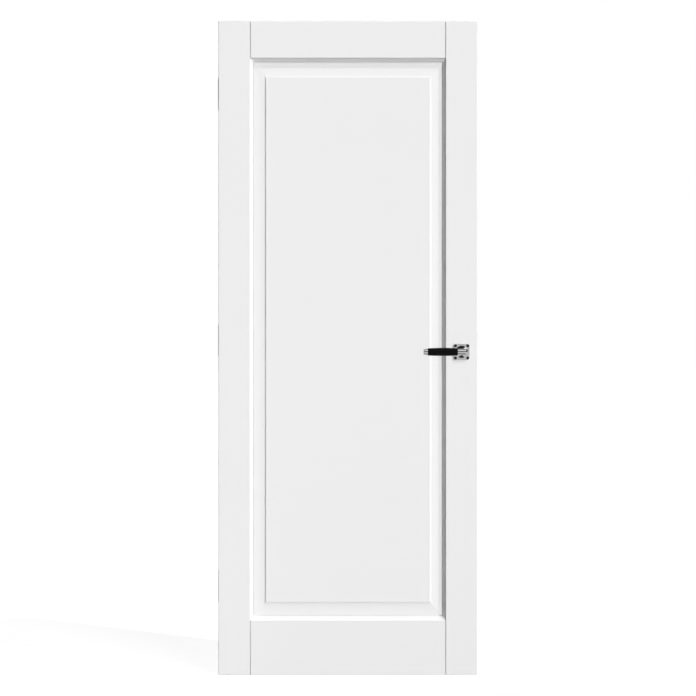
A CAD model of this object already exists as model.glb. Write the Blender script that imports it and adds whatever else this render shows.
import math
import bmesh
import bpy
from mathutils import Matrix, Vector


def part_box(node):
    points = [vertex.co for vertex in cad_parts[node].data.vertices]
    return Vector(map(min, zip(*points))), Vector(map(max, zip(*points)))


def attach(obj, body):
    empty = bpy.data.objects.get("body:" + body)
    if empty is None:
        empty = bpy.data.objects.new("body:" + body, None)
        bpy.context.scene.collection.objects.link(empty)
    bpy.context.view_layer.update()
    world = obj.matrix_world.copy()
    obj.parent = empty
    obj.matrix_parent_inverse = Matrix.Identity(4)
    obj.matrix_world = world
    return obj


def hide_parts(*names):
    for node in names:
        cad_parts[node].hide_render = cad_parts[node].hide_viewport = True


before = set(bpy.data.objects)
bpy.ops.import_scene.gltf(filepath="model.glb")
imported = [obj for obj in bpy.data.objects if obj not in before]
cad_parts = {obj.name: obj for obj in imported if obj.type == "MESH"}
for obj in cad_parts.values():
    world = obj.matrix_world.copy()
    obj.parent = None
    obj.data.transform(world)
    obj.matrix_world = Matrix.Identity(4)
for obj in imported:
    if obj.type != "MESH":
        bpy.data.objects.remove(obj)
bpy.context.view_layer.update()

# Stiles: two upright boards of machined timber, the full height of the door, sprayed with white lacquer.
# A hollow moulding is run on the inner edge between the rails, and a groove in it holds the panel.
# The hinge stile is cut for three hinges; the lock stile for the lock, its forend and the spindle.
MM = 0.001
hinge_stile_low, hinge_stile_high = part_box("hinge_stile")
lock_stile_low, lock_stile_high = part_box("lock_stile")
half_thickness = hinge_stile_high.y
door_bottom = hinge_stile_low.z
door_top = hinge_stile_high.z
mould_width = 12 * MM
bottom_mould_width = 15 * MM
mould_quirk = 3 * MM
mould_depth = 15 * MM
mould_hollow = 0.6 * MM
mould_root = 4 * MM
lip_share = 0.87
lip_round = 0.4 * MM
lip_drop = 0.16 * MM
groove_depth = 11 * MM
groove_half = 4.2 * MM
opening_left = hinge_stile_high.x - mould_width
opening_right = lock_stile_low.x + mould_width
opening_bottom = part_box("bottom_rail")[1].z - bottom_mould_width
opening_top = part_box("top_rail")[0].z + mould_width
outer_round = 2 * MM
inner_arris = 0.3 * MM
handle_low, handle_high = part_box("spindle")
handle_axis = (handle_low + handle_high) / 2


class Wire:
    """One socket of a node tree. Sums and products of wires add Math nodes to that tree."""

    def __init__(self, tree, socket=None):
        self.tree = tree
        self.socket = socket

    def node(self, kind, settings=None, inputs=None, output=0):
        """Adds a node: its settings are set first, then the values or wires of its sockets."""
        made = self.tree.nodes.new(kind)
        for name, value in (settings or {}).items():
            setattr(made, name, value)
        for key, value in (inputs or {}).items():
            if isinstance(value, Wire):
                self.tree.links.new(value.socket, made.inputs[key])
            else:
                made.inputs[key].default_value = value
        return Wire(self.tree, made.outputs[output])

    def math(self, operation, first, second):
        return self.node("ShaderNodeMath", {"operation": operation}, {0: first, 1: second})

    def __add__(self, other):
        return self.math("ADD", self, other)

    __radd__ = __add__

    def __sub__(self, other):
        return self.math("SUBTRACT", self, other)

    def __rsub__(self, other):
        return self.math("SUBTRACT", other, self)

    def __mul__(self, other):
        return self.math("MULTIPLY", self, other)

    __rmul__ = __mul__

    def __truediv__(self, other):
        return self.math("DIVIDE", self, other)

    def parts(self):
        """The X, Y and Z of this vector."""
        split = self.node("ShaderNodeSeparateXYZ", None, {"Vector": self})
        return [Wire(self.tree, output) for output in split.socket.node.outputs]

    def noise(self, scale, detail=2, stretch=(1, 1, 1)):
        """Noise over this vector, scale in features a metre, stretched along the axes given below 1."""
        turned = self.node("ShaderNodeMapping", None, {"Vector": self, "Scale": stretch})
        return self.node("ShaderNodeTexNoise", None, {"Vector": turned, "Scale": scale, "Detail": detail})

    def blend(self, low, high):
        """A colour between two colours, led by this value."""
        mixed = {"Factor": self, 6: (*low, 1), 7: (*high, 1)}
        return self.node("ShaderNodeMix", {"data_type": "RGBA"}, mixed, 2)

    def bump(self, distance):
        """The shading normal of this height, whose full range stands distance proud."""
        height = {"Height": self, "Distance": distance, "Strength": 1}
        return self.node("ShaderNodeBump", None, height, "Normal")


def finish_of(name, constants, varying):
    """A Principled material: constants are set on its sockets, varying(place) gives the wires."""
    material = bpy.data.materials.new(name)
    material.use_nodes = True
    tree = material.node_tree
    shader = tree.nodes["Principled BSDF"]
    for socket, value in constants.items():
        shader.inputs[socket].default_value = value
    place = Wire(tree).node("ShaderNodeTexCoord", output="Object")
    for socket, wire in varying(place).items():
        tree.links.new(wire.socket, shader.inputs[socket])
    return material


def white_lacquer(name, along_grain):
    """Sprayed satin lacquer with a fine orange peel and a trace of the grain below, along one axis."""

    def varying(place):
        cloud = place.noise(2.5, 3)
        peel = place.noise(700, 1)
        fibre = place.noise(260, 3, along_grain)
        return {
            "Base Color": cloud.blend((0.855, 0.855, 0.853), (0.875, 0.875, 0.874)),
            "Roughness": 0.54 + 0.06 * cloud + 0.04 * fibre,
            "Normal": (0.6 * peel + 0.4 * fibre).bump(0.05 * MM),
        }

    return finish_of(name, {"IOR": 1.5}, varying)


upright_lacquer = white_lacquer("lacquer_upright_grain", (1, 1, 0.03))


def new_object(name, mesh):
    made = bpy.data.objects.new(name, mesh)
    bpy.context.scene.collection.objects.link(made)
    return made


def add_piece(name, mesh, material, body, slot, *nodes):
    """Puts a finished mesh in the scene on its body, in place of the CAD nodes it stands for."""
    piece = new_object(name, mesh)
    mesh.materials.clear()
    mesh.materials.append(material)
    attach(piece, body)
    if nodes:
        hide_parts(*nodes)
    return piece


def mesh_of(shape, name):
    """The mesh of a finished bmesh, which is freed."""
    mesh = bpy.data.meshes.new(name)
    shape.to_mesh(mesh)
    shape.free()
    return mesh


def block_shape(low, high):
    """The bmesh of a box between two corners."""
    shape = bmesh.new()
    bmesh.ops.create_cube(shape, size=1)
    for vertex in shape.verts:
        vertex.co = (low + high) / 2 + vertex.co * (high - low)
    return shape


def block(name, low, high):
    """A plain box, used as a cutter."""
    return new_object(name, mesh_of(block_shape(low, high), name))


def board(name, low, high, outer_sides):
    """A plain board whose edges on its outer sides are rounded and whose other face edges have an arris."""
    shape = block_shape(low, high)
    weight = shape.edges.layers.float.new("bevel_weight_edge")
    for edge in shape.edges:
        sides = {tuple(round(v) for v in face.normal) for face in edge.link_faces}
        on_face = bool(sides & {(0, -1, 0), (0, 1, 0)})
        outside = len(sides & outer_sides)
        if outside == 2 or (outside and on_face):
            edge[weight] = 1
        elif on_face:
            edge[weight] = inner_arris / outer_round
    made = new_object(name, mesh_of(shape, name))
    rounding = made.modifiers.new("rounding", "BEVEL")
    rounding.limit_method = "WEIGHT"
    rounding.width = outer_round
    rounding.segments = 5
    return made


def skin(name, rings, closed=False, curved_bands=()):
    """A mesh over rings of points, its ends capped unless the rings close on themselves.
    curved_bands says of each band between two rings if it is shaded as a curve; without it, none is."""
    shape = bmesh.new()
    loops = [[shape.verts.new(point) for point in ring] for ring in rings]
    following_loops = loops[1:] + loops[:1] if closed else loops[1:]
    for number, (first, second) in enumerate(zip(loops, following_loops)):
        for n in range(len(first)):
            following = (n + 1) % len(first)
            face = shape.faces.new((first[n], first[following], second[following], second[n]))
            face.smooth = bool(curved_bands) and curved_bands[number]
    if not closed:
        shape.faces.new(reversed(loops[0]))
        shape.faces.new(loops[-1])
    bmesh.ops.recalc_face_normals(shape, faces=shape.faces)
    return mesh_of(shape, name)


def hollow_section(width):
    """Half of the moulding's outline, front face first: points of (distance from the board, depth plane)."""
    start = Vector((0, half_thickness - mould_quirk))
    end = Vector((width, half_thickness - mould_depth))
    chord = end - start
    inward = Vector((chord.y, -chord.x)).normalized()
    steps = 12
    points = [(-mould_root, start.y)]
    for n in range(steps + 1):
        t = lip_share * n / steps
        sag = mould_hollow * (1 - (2 * t - 1) ** 2)
        points.append(tuple(start + chord * t + inward * sag))
    lip = lip_share * width
    lip_plane = points[-1][1]
    points[-1] = (lip - lip_round, lip_plane + lip_drop)
    points.append((lip, lip_plane - lip_drop))
    points.append((lip, groove_half))
    points.append((width - groove_depth, groove_half))
    return points


def moulding(name, start, end, inward, width, start_neighbour, end_neighbour):
    """A length of the moulding along a board's edge, its ends mitred to mouldings of the widths given."""
    along = (end - start).normalized()
    half = hollow_section(width)
    outline = [(u, -y) for u, y in half] + [(u, y) for u, y in reversed(half)]
    rings = []
    for corner, slant in ((start, start_neighbour / width), (end, -end_neighbour / width)):
        rings.append([
            corner + inward * u + along * slant * max(u, 0) + Vector((0, y, 0)) for u, y in outline
        ])
    mesh = skin(name, rings)
    split_caps = bmesh.new()
    split_caps.from_mesh(mesh)
    split_caps.verts.ensure_lookup_table()
    for first in (0, len(outline)):
        root_ends = [split_caps.verts[first + 1], split_caps.verts[first + len(outline) - 2]]
        cap = next(f for f in split_caps.faces if len(f.verts) > 4 and all(v in f.verts for v in root_ends))
        bmesh.utils.face_split(cap, *root_ends)
    split_caps.to_mesh(mesh)
    split_caps.free()
    return new_object(name, mesh)


def smooth_curves(mesh, sharp_angle):
    """Smooth shading on curved faces only: sharp edges stay sharp, faces square to an axis stay flat."""
    mesh.set_sharp_from_angle(angle=math.radians(sharp_angle))
    flat = 0.9999
    for face in mesh.polygons:
        face.use_smooth = max(abs(v) for v in face.normal) < flat


def shaped(base, joined=(), cut=()):
    """The base with some bodies joined to it and others cut out of it, as one closed mesh."""
    for other, operation in [(o, "UNION") for o in joined] + [(o, "DIFFERENCE") for o in cut]:
        step = base.modifiers.new(other.name, "BOOLEAN")
        step.operation = operation
        step.solver = "EXACT"
        step.object = other
    seen = base.evaluated_get(bpy.context.evaluated_depsgraph_get())
    mesh = bpy.data.meshes.new_from_object(seen)
    for used in (base, *joined, *cut):
        bpy.data.objects.remove(used)
    smooth_curves(mesh, sharp_angle=32)
    return mesh


hinge_board = board(
    "hinge_stile_blank",
    hinge_stile_low,
    Vector((opening_left, half_thickness, door_top)),
    {(-1, 0, 0), (0, 0, 1), (0, 0, -1)},
)
hinge_mould = moulding(
    "hinge_stile_mould",
    Vector((opening_left, 0, opening_bottom)),
    Vector((opening_left, 0, opening_top)),
    Vector((1, 0, 0)),
    mould_width, bottom_mould_width, mould_width,
)


def edge_cutter(name, low, high, corner, square_back=False):
    """A cutter into a door edge: a rectangle seen along X, its corners rounded or left square to the back."""
    outline = []
    steps = 12
    for quarter, (y, z) in enumerate(((high.y, high.z), (low.y, high.z), (low.y, low.z), (high.y, low.z))):
        if square_back and y == high.y:
            outline.append((y, z))
            continue
        centre_y = y - math.copysign(corner, y - (low.y + high.y) / 2)
        centre_z = z - math.copysign(corner, z - (low.z + high.z) / 2)
        for n in range(steps + 1):
            angle = math.pi / 2 * (quarter + n / steps)
            outline.append((centre_y + corner * math.cos(angle), centre_z + corner * math.sin(angle)))
    rings = [[Vector((x, y, z)) for y, z in outline] for x in (low.x, high.x)]
    return new_object(name, skin(name, rings))


hinge_places = ("upper", "middle", "lower")
pocket_clearance = 0.4 * MM
pocket_depth = 3.4 * MM
pocket_corner = 5 * MM
overshoot = 5 * MM
hinge_pockets = []
for place in hinge_places:
    leaf_low, leaf_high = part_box(f"{place}_door_leaf")
    pocket_low = Vector((
        hinge_stile_low.x - overshoot, leaf_low.y - pocket_clearance, leaf_low.z - pocket_clearance,
    ))
    pocket_high = Vector((
        hinge_stile_low.x + pocket_depth, half_thickness + overshoot, leaf_high.z + pocket_clearance,
    ))
    hinge_pockets.append(edge_cutter(
        f"{place}_pocket", pocket_low, pocket_high, pocket_corner, square_back=True,
    ))
add_piece(
    "hinge_stile_board",
    shaped(hinge_board, [hinge_mould], hinge_pockets),
    upright_lacquer, "door", "white_lacquer", "hinge_stile",
)

lock_board = board(
    "lock_stile_blank",
    Vector((opening_right, -half_thickness, door_bottom)),
    lock_stile_high,
    {(1, 0, 0), (0, 0, 1), (0, 0, -1)},
)
lock_mould = moulding(
    "lock_stile_mould",
    Vector((opening_right, 0, opening_bottom)),
    Vector((opening_right, 0, opening_top)),
    Vector((-1, 0, 0)),
    mould_width, bottom_mould_width, mould_width,
)
lock_clearance = Vector((0.3 * MM, 0.3 * MM, 0.3 * MM))
case_low, case_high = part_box("lock_case")
lock_mortise = block("lock_mortise", case_low - lock_clearance, case_high + lock_clearance)
forend_low, forend_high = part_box("lock_forend")
recess_low = forend_low - Vector((0, lock_clearance.y, lock_clearance.z))
recess_high = forend_high + Vector((overshoot, lock_clearance.y, lock_clearance.z))
forend_recess = edge_cutter("forend_recess", recess_low, recess_high, (recess_high.y - recess_low.y) / 2)
follower_hole = 9 * MM


def lathe(name, profile, origin, axis, closed=False, sharp_angle=30):
    """A turned piece: profile holds (radius, distance along the axis) from one end to the other."""
    axis = Vector(axis).normalized()
    side = axis.orthogonal().normalized()
    other = axis.cross(side)
    segments = 96
    rings = []
    for radius, distance in profile:
        centre = origin + axis * distance
        ring = []
        for n in range(segments):
            angle = 2 * math.pi * n / segments
            ring.append(centre + (side * math.cos(angle) + other * math.sin(angle)) * radius)
        rings.append(ring)
    mesh = skin(name, rings, closed)
    smooth_curves(mesh, sharp_angle)
    return mesh


spindle_hole = new_object("spindle_hole", lathe(
    "spindle_hole",
    [(follower_hole, -2 * half_thickness), (follower_hole, 2 * half_thickness)],
    handle_axis, (0, 1, 0),
))
add_piece(
    "lock_stile_board",
    shaped(lock_board, [lock_mould], [forend_recess, lock_mortise, spindle_hole]),
    upright_lacquer, "door", "white_lacquer", "lock_stile",
)

# Rails: a top and a deeper bottom board between the stiles, of the same timber with the grain lying across.
# Each has the same moulding on its panel edge, mitred to the stiles', and a fine sunk line at each shoulder,
# front and back, where it is glued and dowelled to the stile.
level_lacquer = white_lacquer("lacquer_level_grain", (0.03, 1, 1))
shoulder_groove_width = 2.4 * MM
shoulder_groove_depth = 5 * MM
groove_reach = Vector((shoulder_groove_width, shoulder_groove_depth, overshoot))
for rail, board_bottom, board_top, mould_level, rail_mould_width, outer_way in (
    ("top_rail", opening_top, door_top, opening_top, mould_width, 1),
    ("bottom_rail", door_bottom, opening_bottom, opening_bottom, bottom_mould_width, -1),
):
    rail_board = board(
        f"{rail}_blank",
        Vector((opening_left, -half_thickness, board_bottom)),
        Vector((opening_right, half_thickness, board_top)),
        {(0, 0, outer_way)},
    )
    rail_mould = moulding(
        f"{rail}_mould",
        Vector((opening_left, 0, mould_level)),
        Vector((opening_right, 0, mould_level)),
        Vector((0, 0, -outer_way)),
        rail_mould_width, mould_width, mould_width,
    )
    shoulder_grooves = []
    for x in (opening_left, opening_right):
        for face in (-half_thickness, half_thickness):
            shoulder_grooves.append(block(
                f"{rail}_groove",
                Vector((x, face, board_bottom)) - groove_reach,
                Vector((x, face, board_top)) + groove_reach,
            ))
    add_piece(
        f"{rail}_board",
        shaped(rail_board, [rail_mould], shoulder_grooves),
        level_lacquer, "door", "white_lacquer", rail,
    )

# Panel: one thick board, raised and fielded on both faces, lacquered like the rest. A rebate at its edge
# leaves a fine shadow line by the moulding, a sloping margin runs up from there, and a small steep step
# stands the flat field proud. Its tongue floats in the groove of the stiles and rails without glue.
panel_low, panel_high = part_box("panel")
tongue_length = 10 * MM
tongue_plane = 1.2 * MM
margin_plane = 4 * MM
step_plane = 6.8 * MM
field_plane = panel_high.y
side_margin = 39 * MM
top_margin = 49 * MM
bottom_margin = 42 * MM
field_step_run = 0.4 * MM
bottom_step_run = 1.7 * MM
field_round = 0.3 * MM
sight_low = panel_low + Vector((tongue_length, 0, tongue_length))
sight_high = panel_high - Vector((tongue_length, 0, tongue_length))


def panel_ring(side, bottom, top, plane):
    """The four corners of a rectangle set in from the visible edges of the panel."""
    corners = (
        (sight_low.x + side, sight_low.z + bottom),
        (sight_high.x - side, sight_low.z + bottom),
        (sight_high.x - side, sight_high.z - top),
        (sight_low.x + side, sight_high.z - top),
    )
    return [Vector((x, plane, z)) for x, z in corners]


panel_edge = [
    (-tongue_length, -tongue_length, -tongue_length, tongue_plane),
    (0, 0, 0, tongue_plane),
    (0, 0, 0, margin_plane),
    (side_margin, bottom_margin, top_margin, step_plane),
]
flat_bands = [False] * len(panel_edge)
round_steps = 5
round_bands = [True] * round_steps
for n in range(round_steps + 1):
    angle = math.pi / 2 * n / round_steps
    turned_in = field_round * math.cos(angle)
    rise = field_plane - field_round * (1 - math.sin(angle))
    panel_edge.append((
        side_margin + field_step_run - turned_in,
        bottom_margin + bottom_step_run - turned_in,
        top_margin + field_step_run - turned_in,
        rise,
    ))
front_rings = [panel_ring(side, bottom, top, -plane) for side, bottom, top, plane in panel_edge]
back_rings = [panel_ring(side, bottom, top, plane) for side, bottom, top, plane in panel_edge]
panel_mesh = skin(
    "raised_panel",
    list(reversed(front_rings)) + back_rings,
    curved_bands=round_bands + flat_bands + [False] + flat_bands + round_bands,
)
add_piece("raised_panel", panel_mesh, upright_lacquer, "door", "white_lacquer", "panel")

# Mortice lock: a sheet steel case let into the lock stile behind a satin steel forend with round ends.
# The latch bolt is drawn back flush with the forend. Two countersunk screws hold the forend to the stile.
weld_distance = 0.002 * MM
countersunk_depth = 1.5 * MM
seat_gap = 0.12 * MM
seat_lead = 1 * MM
forend_screw_reach = 75 * MM
forend_screw_radius = 3.6 * MM
forend_screw_sink = 0.12 * MM


def satin_steel(name, brushed_along, level=0.56):
    """Rolled steel with a fine brushed line along one axis and a little unevenness of polish."""
    uneven = 0.04

    def varying(place):
        brush = place.noise(2600, 2, brushed_along)
        cloud = place.noise(60, 3)
        return {
            "Base Color": cloud.blend((level - uneven,) * 3, (level + uneven,) * 3),
            "Roughness": 0.26 + 0.12 * brush + 0.08 * cloud,
            "Normal": brush.bump(0.01 * MM),
        }

    return finish_of(name, {"Metallic": 1}, varying)


def finish_node(node, material):
    """Gives its material to a CAD node that stays in view."""
    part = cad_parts[node]
    part.data.materials.clear()
    part.data.materials.append(material)
    return part


def with_screw_seats(node, spots, inward, head_radius):
    """The mesh of a CAD plate with a sunk round seat for a screw head at each spot of its face."""
    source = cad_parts[node]
    shape = bmesh.new()
    shape.from_mesh(source.data)
    shape.transform(source.matrix_world)
    bmesh.ops.remove_doubles(shape, verts=shape.verts, dist=weld_distance)
    plate = new_object(f"{node}_blank", mesh_of(shape, f"{node}_blank"))
    bore = head_radius + seat_gap
    seat_profile = [(bore, -seat_lead), (bore, countersunk_depth + seat_gap)]
    seats = []
    for spot in spots:
        seats.append(new_object(f"{node}_seat", lathe(f"{node}_seat", seat_profile, spot, inward)))
    return shaped(plate, cut=seats)


upright_steel = satin_steel("satin_steel_upright", (1, 1, 0.02))
finish_node("lock_case", upright_steel)
finish_node("latch_bolt", upright_steel)
forend_spots = [
    Vector((forend_high.x, 0, handle_axis.z + way * forend_screw_reach)) for way in (-1, 1)
]
add_piece(
    "lock_forend_plate",
    with_screw_seats("lock_forend", forend_spots, (-1, 0, 0), forend_screw_radius),
    upright_steel, "door", "steel", "lock_forend",
)


def screw_tree():
    """Slotted screws on a rectangle of points: domed heads, each with its slot turned its own way."""
    tree = bpy.data.node_groups.new("slotted_screws", "GeometryNodeTree")
    tree.interface.new_socket("Geometry", in_out="OUTPUT", socket_type="NodeSocketGeometry")
    for name, kind in (
        ("Columns", "NodeSocketInt"),
        ("Rows", "NodeSocketInt"),
        ("Column Spacing", "NodeSocketFloat"),
        ("Row Spacing", "NodeSocketFloat"),
        ("Head Radius", "NodeSocketFloat"),
        ("Head Rise", "NodeSocketFloat"),
        ("Head Sunk", "NodeSocketFloat"),
        ("Slot Width", "NodeSocketFloat"),
        ("Slot Depth", "NodeSocketFloat"),
        ("Slot Seed", "NodeSocketInt"),
        ("Centre", "NodeSocketVector"),
        ("Turn", "NodeSocketVector"),
        ("Material", "NodeSocketMaterial"),
    ):
        tree.interface.new_socket(name, in_out="INPUT", socket_type=kind)
    start = Wire(tree)
    sizes = tree.nodes.new("NodeGroupInput")

    def size(name):
        return Wire(tree, sizes.outputs[name])

    radius = size("Head Radius")
    rise = size("Head Rise")
    sunk = size("Head Sunk")
    undercut = 0.9
    head = start.node("GeometryNodeMeshCone", None, {
        "Vertices": 40, "Side Segments": 1, "Fill Segments": 10,
        "Radius Top": radius, "Radius Bottom": radius * undercut, "Depth": sunk,
    })
    lowered = start.node("ShaderNodeCombineXYZ", None, {"Z": 0 - sunk})
    head = start.node("GeometryNodeTransform", None, {"Geometry": head, "Translation": lowered})
    across, upward, height = start.node("GeometryNodeInputPosition").parts()
    spread = (across * across + upward * upward) / (radius * radius)
    on_top = height.math("GREATER_THAN", height, sunk * -0.5)
    dome = start.node("ShaderNodeCombineXYZ", None, {"Z": on_top * rise * (1 - spread)})
    head = start.node("GeometryNodeSetPosition", None, {"Geometry": head, "Offset": dome})
    slot_size = start.node("ShaderNodeCombineXYZ", None, {
        "X": radius * 3, "Y": size("Slot Width"), "Z": size("Slot Depth") * 2,
    })
    slot = start.node("GeometryNodeMeshCube", None, {"Size": slot_size})
    slot_lift = start.node("ShaderNodeCombineXYZ", None, {"Z": rise})
    slot = start.node("GeometryNodeTransform", None, {"Geometry": slot, "Translation": slot_lift})
    slotted = start.node("GeometryNodeMeshBoolean", {"operation": "DIFFERENCE"}, {
        "Mesh 1": head, "Mesh 2": slot,
    })
    points = start.node("GeometryNodeMeshGrid", None, {
        "Size X": size("Column Spacing"), "Size Y": size("Row Spacing"),
        "Vertices X": size("Columns"), "Vertices Y": size("Rows"),
    })
    spin = start.node("FunctionNodeRandomValue", {"data_type": "FLOAT"}, {
        2: 0.0, 3: 2 * math.pi, "Seed": size("Slot Seed"),
    }, 1)
    turned = start.node("ShaderNodeCombineXYZ", None, {"Z": spin})
    placed = start.node("GeometryNodeInstanceOnPoints", None, {
        "Points": points, "Instance": slotted, "Rotation": turned,
    })
    placed = start.node("GeometryNodeTransform", None, {
        "Geometry": placed, "Translation": size("Centre"), "Rotation": size("Turn"),
    })
    placed = start.node("GeometryNodeRealizeInstances", None, {"Geometry": placed})
    placed = start.node("GeometryNodeSetMaterial", None, {"Geometry": placed, "Material": size("Material")})
    finish = tree.nodes.new("NodeGroupOutput")
    tree.links.new(placed.socket, finish.inputs[0])
    return tree


slotted_screws = screw_tree()


def screws(name, body, slot, sets):
    """One piece of screws for a body, from the settings of each rectangle of screws."""
    shape = bmesh.new()
    for settings in sets:
        carrier = new_object(f"{name}_carrier", bpy.data.meshes.new(f"{name}_carrier"))
        maker = carrier.modifiers.new("screws", "NODES")
        maker.node_group = slotted_screws
        for item in slotted_screws.interface.items_tree:
            if item.in_out == "INPUT":
                maker[item.identifier] = settings[item.name]
        seen = carrier.evaluated_get(bpy.context.evaluated_depsgraph_get())
        mesh = bpy.data.meshes.new_from_object(seen)
        shape.from_mesh(mesh)
        bpy.data.objects.remove(carrier)
        bpy.data.meshes.remove(mesh)
    mesh = mesh_of(shape, name)
    mesh.set_sharp_from_angle(angle=math.radians(30))
    return add_piece(name, mesh, sets[0]["Material"], body, slot)


def screw_steel(place):
    brush = place.noise(1800, 2)
    return {
        "Base Color": brush.blend((0.5, 0.5, 0.5), (0.6, 0.6, 0.59)),
        "Roughness": 0.28 + 0.15 * brush,
    }


bright_screw = finish_of("bright_screw_steel", {"Metallic": 1}, screw_steel)
screws("forend_screws", "door", "steel", [{
    "Columns": 2, "Rows": 1, "Column Spacing": 2 * forend_screw_reach, "Row Spacing": 0.0,
    "Head Radius": forend_screw_radius, "Head Rise": 0.1 * MM, "Head Sunk": countersunk_depth,
    "Slot Width": 0.9 * MM, "Slot Depth": 0.9 * MM, "Slot Seed": 3,
    "Centre": (forend_high.x - forend_screw_sink, 0, handle_axis.z), "Turn": (0, math.pi / 2, 0),
    "Material": bright_screw,
}])

# Roses: a square plate of polished nickel-plated brass on each face of the lock stile, with rounded corners.
# A turned boss, domed up to a low collar, stands on each and carries the lever's neck. Four dark slotted
# screws fix each plate.
rose_low, rose_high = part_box("front_rose")
rose_thickness = rose_high.y - rose_low.y
rose_half = (rose_high.x - rose_low.x) / 2
rose_corner = 6 * MM
rose_edge_round = 1.2 * MM
rose_screw_spacing = 39 * MM
neck_bore = 9.08 * MM
boss_low, boss_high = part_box("front_boss")
boss_radius = (boss_high.x - boss_low.x) / 2
boss_height = boss_high.y - boss_low.y
boss_edge_height = 1.5 * MM
boss_edge_arris = 0.3 * MM
boss_dome_height = 8.6 * MM
boss_dome_bulge = 0.3 * MM
boss_collar_radius = 10.4 * MM
boss_collar_round = 0.6 * MM


def nickel_finish(name, swirl):
    """Polished nickel plate: a soft grey metal with faint wiping marks and a slightly clouded polish."""

    def varying(place):
        wiped = place.noise(900, 3, swirl)
        cloud = place.noise(90, 3)
        return {
            "Base Color": cloud.blend((0.46, 0.456, 0.449), (0.52, 0.516, 0.508)),
            "Roughness": 0.06 + 0.04 * wiped + 0.04 * cloud,
            "Normal": wiped.bump(0.004 * MM),
        }

    return finish_of(name, {"Metallic": 1}, varying)


nickel = nickel_finish("polished_nickel", (1, 0.1, 1))


def rounded_square(half_side, corner, plane):
    """Points round a square with rounded corners in an upright plane about the handle's axis."""
    steps = 10
    points = []
    for quarter in range(4):
        turn = math.pi / 2 * quarter
        centre = Matrix.Rotation(turn, 2) @ Vector((half_side - corner, half_side - corner))
        for n in range(steps + 1):
            angle = turn + math.pi / 2 * n / steps
            x = centre.x + corner * math.cos(angle)
            z = centre.y + corner * math.sin(angle)
            points.append(Vector((handle_axis.x + x, plane, handle_axis.z + z)))
    return points


def bore_ring(like, radius, plane):
    """A circle about the handle's axis with a point at the same bearing as each point of another ring."""
    points = []
    for point in like:
        bearing = Vector((point.x - handle_axis.x, point.z - handle_axis.z)).normalized() * radius
        points.append(Vector((handle_axis.x + bearing.x, plane, handle_axis.z + bearing.y)))
    return points


def arc(centre, radius, first_degrees, last_degrees, steps=6):
    """Profile points on an arc, angles measured from the radius axis towards the turning axis."""
    points = []
    for n in range(steps + 1):
        angle = math.radians(first_degrees + (last_degrees - first_degrees) * n / steps)
        points.append((centre[0] + radius * math.cos(angle), centre[1] + radius * math.sin(angle)))
    return points


def blackened_steel(place):
    return {
        "Base Color": place.noise(700, 2).blend((0.003, 0.003, 0.003), (0.01, 0.01, 0.01)),
        "Roughness": 0.35 + 0.2 * place.noise(1500, 2),
    }


dark_screw = finish_of("blackened_screw_steel", {"Specular IOR Level": 0.15}, blackened_steel)
for side, outward in (("front", -1), ("back", 1)):
    face = outward * half_thickness
    seat = rounded_square(rose_half, rose_corner, face)
    rings = [seat]
    edge_steps = 6
    for n in range(edge_steps + 1):
        angle = math.pi / 2 * n / edge_steps
        inset = rose_edge_round * (1 - math.cos(angle))
        rise = rose_thickness - rose_edge_round * (1 - math.sin(angle))
        rings.append(rounded_square(rose_half - inset, rose_corner - inset, face + outward * rise))
    rings.append(bore_ring(seat, neck_bore, face + outward * rose_thickness))
    rings.append(bore_ring(seat, neck_bore, face))
    plate = skin(f"{side}_rose_plate", rings, closed=True)
    smooth_curves(plate, sharp_angle=40)
    add_piece(f"{side}_rose_plate", plate, nickel, "door", "nickel", f"{side}_rose")

    boss_profile = [(neck_bore, 0), (boss_radius, 0), (boss_radius, boss_edge_height - boss_edge_arris)]
    dome_steps = 16
    for n in range(dome_steps + 1):
        t = n / dome_steps
        bulge = boss_dome_bulge * (1 - (2 * t - 1) ** 2)
        radius = boss_radius + (boss_collar_radius - boss_radius) * t
        boss_profile.append((radius, boss_edge_height + (boss_dome_height - boss_edge_height) * t + bulge))
    collar_centre = (boss_collar_radius - boss_collar_round, boss_height - boss_collar_round)
    boss_profile += arc(collar_centre, boss_collar_round, 0, 90)
    boss_profile.append((neck_bore, boss_height))
    boss_foot = Vector((handle_axis.x, face + outward * rose_thickness, handle_axis.z))
    boss = lathe(f"{side}_rose_boss", boss_profile, boss_foot, (0, outward, 0), closed=True)
    boss_piece = add_piece(f"{side}_rose_boss", boss, nickel, "door", "nickel", f"{side}_boss")
    # No shadow of the handle shows on the door, so the boss and the lever cast none
    boss_piece.visible_shadow = False

screws("rose_screws", "door", "steel", [{
    "Columns": 2, "Rows": 2, "Column Spacing": rose_screw_spacing, "Row Spacing": rose_screw_spacing,
    "Head Radius": 4.6 * MM, "Head Rise": 1.1 * MM, "Head Sunk": 1.2 * MM,
    "Slot Width": 1.1 * MM, "Slot Depth": 1.0 * MM, "Slot Seed": seed,
    "Centre": (handle_axis.x, outward * (half_thickness + rose_thickness), handle_axis.z),
    "Turn": (-outward * math.pi / 2, 0, 0),
    "Material": dark_screw,
} for outward, seed in ((-1, 11), (1, 17))])

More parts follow.
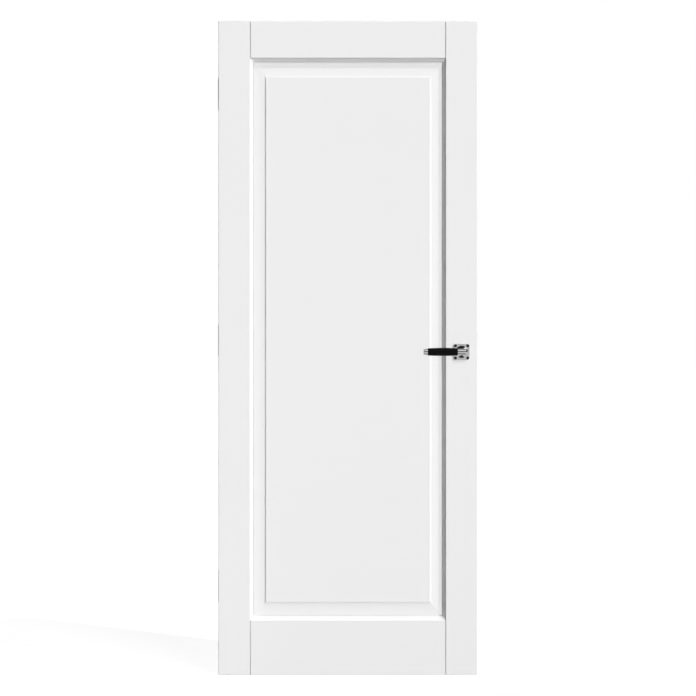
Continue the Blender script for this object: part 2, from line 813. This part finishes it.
# Levers: one each side on a square steel spindle through the lock. A turned nickel neck and cross socket
# carry a black-stained hardwood grip, swollen like a barrel, and a nickel ferrule closes its end.
spindle = finish_node("spindle", satin_steel("satin_steel_spindle", (1, 0.02, 1)))
spindle.visible_shadow = False
lever_low, lever_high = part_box("front_lever")
grip_low, grip_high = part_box("front_grip")
ferrule_low, ferrule_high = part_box("front_ferrule")
turned_arris = 0.3 * MM
neck_radius = 9 * MM
neck_end_gap = 0.5 * MM
socket_radius = (lever_high.z - lever_low.z) / 2
socket_length = lever_high.x - lever_low.x
socket_round = 1.5 * MM
spindle_play = 0.1 * MM
grip_axis = -(grip_low.y + grip_high.y) / 2
grip_length = grip_high.x - grip_low.x
grip_middle_radius = 12.98 * MM
grip_end_radius = 11.5 * MM
grip_round = 0.6 * MM
grip_shoulder = 0.12 * MM
ferrule_length = ferrule_high.x - ferrule_low.x
ferrule_base_radius = (ferrule_high.z - ferrule_low.z) / 2
ferrule_tip_radius = 9.2 * MM
ferrule_round = 2 * MM


def black_wood(place):
    grain = place.noise(420, 4, (0.05, 1, 1))
    pores = place.noise(1500, 2, (0.04, 1, 1))
    return {
        "Base Color": grain.blend((0.002, 0.002, 0.002), (0.007, 0.006, 0.006)),
        "Roughness": 0.3 + 0.12 * grain + 0.08 * pores,
        "Normal": (0.5 * grain + 0.5 * pores).bump(0.03 * MM),
    }


ebony = finish_of("black_stained_wood", {"Specular IOR Level": 0.06}, black_wood)
nickel_bar = nickel_finish("polished_nickel_bar", (0.1, 1, 1))
for side, outward in (("front", -1), ("back", 1)):
    neck_start = Vector((handle_axis.x, outward * (half_thickness + neck_end_gap), handle_axis.z))
    neck_length = grip_axis - half_thickness - neck_end_gap
    neck_profile = [(neck_radius - turned_arris, 0), (neck_radius, turned_arris), (neck_radius, neck_length)]
    neck = new_object(f"{side}_neck", lathe(f"{side}_neck", neck_profile, neck_start, (0, outward, 0)))
    socket_start = Vector((lever_high.x, outward * grip_axis, handle_axis.z))
    socket_profile = arc((socket_radius - socket_round, socket_round), socket_round, -90, 0, 8)
    socket_profile.append((socket_radius, socket_length - turned_arris))
    socket_profile.append((socket_radius - turned_arris, socket_length))
    socket = new_object(f"{side}_socket", lathe(f"{side}_socket", socket_profile, socket_start, (-1, 0, 0)))
    spindle_side = handle_high.x - handle_low.x + spindle_play
    spindle_end = outward * handle_high.y
    spindle_reach = Vector((spindle_side / 2, 0, spindle_side / 2))
    spindle_centre = Vector((handle_axis.x, 0, handle_axis.z))
    spindle_socket = block(
        f"{side}_spindle_socket",
        spindle_centre - spindle_reach + Vector((0, min(0, spindle_end), 0)),
        spindle_centre + spindle_reach + Vector((0, max(0, spindle_end), 0)),
    )
    lever_mesh = shaped(socket, [neck], [spindle_socket])
    lever = add_piece(f"{side}_lever_neck", lever_mesh, nickel_bar, "lever", "nickel", f"{side}_lever")

    swell = grip_middle_radius - grip_end_radius
    grip_profile = [(grip_end_radius - grip_round, 0), (grip_end_radius - grip_shoulder, grip_shoulder)]
    grip_steps = 24
    for n in range(grip_steps + 1):
        t = n / grip_steps
        along = grip_round + (grip_length - 2 * grip_round) * t
        grip_profile.append((grip_end_radius + swell * (1 - (2 * t - 1) ** 2), along))
    grip_profile.append((grip_end_radius - grip_shoulder, grip_length - grip_shoulder))
    grip_profile.append((grip_end_radius - grip_round, grip_length))
    grip_start = Vector((grip_high.x, outward * grip_axis, handle_axis.z))
    grip_mesh = lathe(f"{side}_lever_grip", grip_profile, grip_start, (-1, 0, 0), sharp_angle=60)
    grip = add_piece(f"{side}_lever_grip", grip_mesh, ebony, "lever", "ebony", f"{side}_grip")

    ferrule_profile = [(ferrule_base_radius - turned_arris, 0), (ferrule_base_radius, turned_arris)]
    tip_centre = (ferrule_tip_radius - ferrule_round, ferrule_length - ferrule_round)
    ferrule_profile += arc(tip_centre, ferrule_round, 0, 90, 8)
    ferrule_start = Vector((grip_low.x, outward * grip_axis, handle_axis.z))
    ferrule_mesh = lathe(f"{side}_lever_ferrule", ferrule_profile, ferrule_start, (-1, 0, 0), sharp_angle=40)
    ferrule = add_piece(
        f"{side}_lever_ferrule", ferrule_mesh, nickel_bar, "lever", "nickel", f"{side}_ferrule",
    )
    for shadowless in (lever, grip, ferrule):
        shadowless.visible_shadow = False

# Hinges: three steel butt hinges on the hinge edge, knuckles to the back face. The jamb leaf and the pin stay
# with the jamb, and the door leaf, let into the stile, is held by four countersunk screws.
hinge_screw_radius = 3.9 * MM
hinge_screw_height = 72 * MM
hinge_screw_width = 11 * MM
hinge_screw_sink = 0.06 * MM
leaf_face = hinge_stile_low.x + 0.9 * MM
leaf_screw_line = 8 * MM
hinge_steel = satin_steel("satin_steel_hinge", (1, 1, 0.02), 0.74)
for place in hinge_places:
    for node in (f"{place}_jamb_leaf", f"{place}_hinge_pin"):
        merge = finish_node(node, hinge_steel).modifiers.new("merge", "WELD")
        merge.merge_threshold = weld_distance
hinge_screw_sets = []
for place, seed in zip(hinge_places, (5, 6, 7)):
    leaf_low, leaf_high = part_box(f"{place}_door_leaf")
    screws_middle = Vector((leaf_face, leaf_screw_line, (leaf_low.z + leaf_high.z) / 2))
    leaf_spots = [
        screws_middle + Vector((0, across * hinge_screw_width / 2, up * hinge_screw_height / 2))
        for across in (-1, 1) for up in (-1, 1)
    ]
    add_piece(
        f"{place}_door_leaf_plate",
        with_screw_seats(f"{place}_door_leaf", leaf_spots, (1, 0, 0), hinge_screw_radius),
        hinge_steel, "door", "steel", f"{place}_door_leaf",
    )
    hinge_screw_sets.append({
        "Columns": 2, "Rows": 2, "Column Spacing": hinge_screw_height, "Row Spacing": hinge_screw_width,
        "Head Radius": hinge_screw_radius, "Head Rise": 0.05 * MM, "Head Sunk": countersunk_depth,
        "Slot Width": 0.9 * MM, "Slot Depth": 0.8 * MM, "Slot Seed": seed,
        "Centre": tuple(screws_middle + Vector((hinge_screw_sink, 0, 0))),
        "Turn": (0, -math.pi / 2, 0),
        "Material": bright_screw,
    })
screws("door_leaf_screws", "door", "steel", hinge_screw_sets)

# Studio: a pale floor under the door and white all round, a soft key light and a hard side light from the
# upper right and a soft light on the back. Polished metal mirrors a pale wall, two softboxes and a dark
# ceiling, and a floor that is dark near the door. The camera stands square on to the front.
floor_reach = 60
floor_thickness = 0.02
foot_distance = 1.16
open_distance = 1.27
foot_level = 0.06
open_level = 1.0
white = (1, 1, 1, 1)
floor_corners = ((-1, -1), (1, -1), (1, 1), (-1, 1))
floor_rings = [
    [Vector((x * floor_reach, y * floor_reach, level)) for x, y in floor_corners]
    for level in (door_bottom - floor_thickness, door_bottom)
]
floor = new_object("floor", skin("floor", floor_rings))
floor_material = bpy.data.materials.new("pale_floor")
floor_material.use_nodes = True
floor_tree = floor_material.node_tree
floor_tree.nodes.clear()
floor_start = Wire(floor_tree)
lighting_floor = floor_start.node("ShaderNodeBsdfDiffuse", None, {"Color": (0.12, 0.12, 0.12, 1)})
shadow_floor = floor_start.node("ShaderNodeBsdfDiffuse", None, {"Color": (0.35, 0.35, 0.35, 1)})
glow = floor_start.node("ShaderNodeEmission", None, {"Color": white, "Strength": 0.75})
seen_floor = floor_start.node("ShaderNodeAddShader", None, {0: shadow_floor, 1: glow})
floor_place = floor_start.node("ShaderNodeTexCoord", output="Object")
floor_distance = floor_start.node(
    "ShaderNodeVectorMath", {"operation": "DISTANCE"}, {0: floor_place, 1: handle_axis}, "Value"
)
mirrored_level = floor_start.node("ShaderNodeMapRange", None, {
    "Value": floor_distance,
    "From Min": foot_distance, "From Max": open_distance,
    "To Min": foot_level, "To Max": open_level,
})
mirrored_floor = floor_start.node("ShaderNodeEmission", None, {"Color": white, "Strength": mirrored_level})
floor_mix = floor_start.node("ShaderNodeMixShader", None, {
    0: floor_start.node("ShaderNodeLightPath", output="Is Glossy Ray"), 1: lighting_floor, 2: mirrored_floor,
})
floor_mix = floor_start.node("ShaderNodeMixShader", None, {
    0: floor_start.node("ShaderNodeLightPath", output="Is Camera Ray"), 1: floor_mix, 2: seen_floor,
})
floor_out = floor_tree.nodes.new("ShaderNodeOutputMaterial")
floor_tree.links.new(floor_mix.socket, floor_out.inputs["Surface"])
floor.data.materials.append(floor_material)

ambient_level = 0.06
backdrop_level = 1.0
dark_ceiling = 0.03
wall_top = 0.02
front_softbox_level = 2.2
front_softbox_edge = 0.47
front_softbox_bottom = 0.57
front_softbox_top = 0.88
side_softbox_level = 1.7
side_softbox_edge = 0.45
side_softbox_bottom = 0.45
side_softbox_top = 0.74
world = bpy.data.worlds.new("studio")
world.use_nodes = True
bpy.context.scene.world = world
world_tree = world.node_tree
world_tree.nodes.clear()
sky = Wire(world_tree)
ambient = sky.node("ShaderNodeBackground", None, {"Color": white, "Strength": ambient_level})
backdrop = sky.node("ShaderNodeBackground", None, {"Color": white, "Strength": backdrop_level})
seen_straight = sky.node("ShaderNodeLightPath", output="Is Camera Ray")
seen_through = sky.node("ShaderNodeLightPath", output="Is Transmission Ray")
seen = sky.math("MAXIMUM", seen_straight, seen_through)
sideways, front_or_back, upward = sky.node("ShaderNodeTexCoord", output="Generated").parts()
square_on = sky.math("ABSOLUTE", front_or_back, 0)


def above(value, level):
    """1 where the value of a wire lies above a level and 0 where it lies below, with a soft edge."""
    softness = 0.03
    limits = {"Value": value, "From Min": level, "From Max": level + softness}
    return value.node("ShaderNodeMapRange", None, limits)


pale_wall = (1 - above(upward, wall_top)) * (0.4 + 0.6 * square_on)
front_band = above(upward, front_softbox_bottom) * (1 - above(upward, front_softbox_top))
front_softbox = above(square_on, front_softbox_edge) * front_band
side_band = above(upward, side_softbox_bottom) * (1 - above(upward, side_softbox_top))
side_softbox = above(sideways, side_softbox_edge) * side_band
softboxes = front_softbox_level * front_softbox + side_softbox_level * side_softbox
mirrored = sky.node("ShaderNodeBackground", None, {
    "Color": white, "Strength": pale_wall + softboxes + dark_ceiling,
})
sky_mix = sky.node("ShaderNodeMixShader", None, {
    0: sky.node("ShaderNodeLightPath", output="Is Glossy Ray"), 1: ambient, 2: mirrored,
})
sky_mix = sky.node("ShaderNodeMixShader", None, {0: seen, 1: sky_mix, 2: backdrop})
world_out = world_tree.nodes.new("ShaderNodeOutputWorld")
world_tree.links.new(sky_mix.socket, world_out.inputs["Surface"])


def studio_lamp(name, towards, level, spread_degrees):
    """An even light from a direction, softer the wider it spreads; level 1 lights a facing surface fully."""
    lamp = bpy.data.lights.new(name, "SUN")
    lamp.energy = level * math.pi
    lamp.angle = math.radians(spread_degrees)
    holder = bpy.data.objects.new(name, lamp)
    holder.rotation_mode = "QUATERNION"
    holder.rotation_quaternion = Vector(towards).to_track_quat("Z", "Y")
    holder.visible_glossy = False
    bpy.context.scene.collection.objects.link(holder)


studio_lamp("key_light", towards=(0.62, -1, 0.25), level=0.9, spread_degrees=26)
studio_lamp("side_light", towards=(1.6, -1, 2.1), level=0.44, spread_degrees=0.6)
studio_lamp("back_light", towards=(-0.5, 0.75, 0.4), level=1.05, spread_degrees=40)

photo_size = 696
door_pixels = 654
camera_distance = 5.0
door_middle = Vector(((hinge_stile_low.x + lock_stile_high.x) / 2, 0, (door_bottom + door_top) / 2))
view_width = (door_top - door_bottom) * photo_size / door_pixels
camera_data = bpy.data.cameras.new("camera")
camera_data.sensor_width = 36
camera_data.lens = camera_data.sensor_width * camera_distance / view_width
camera = bpy.data.objects.new("camera", camera_data)
camera.location = door_middle + Vector((0, -half_thickness - camera_distance, 0))
camera.rotation_euler = (math.pi / 2, 0, 0)
bpy.context.scene.collection.objects.link(camera)
bpy.context.scene.camera = camera
bpy.context.scene.view_settings.view_transform = "Standard"
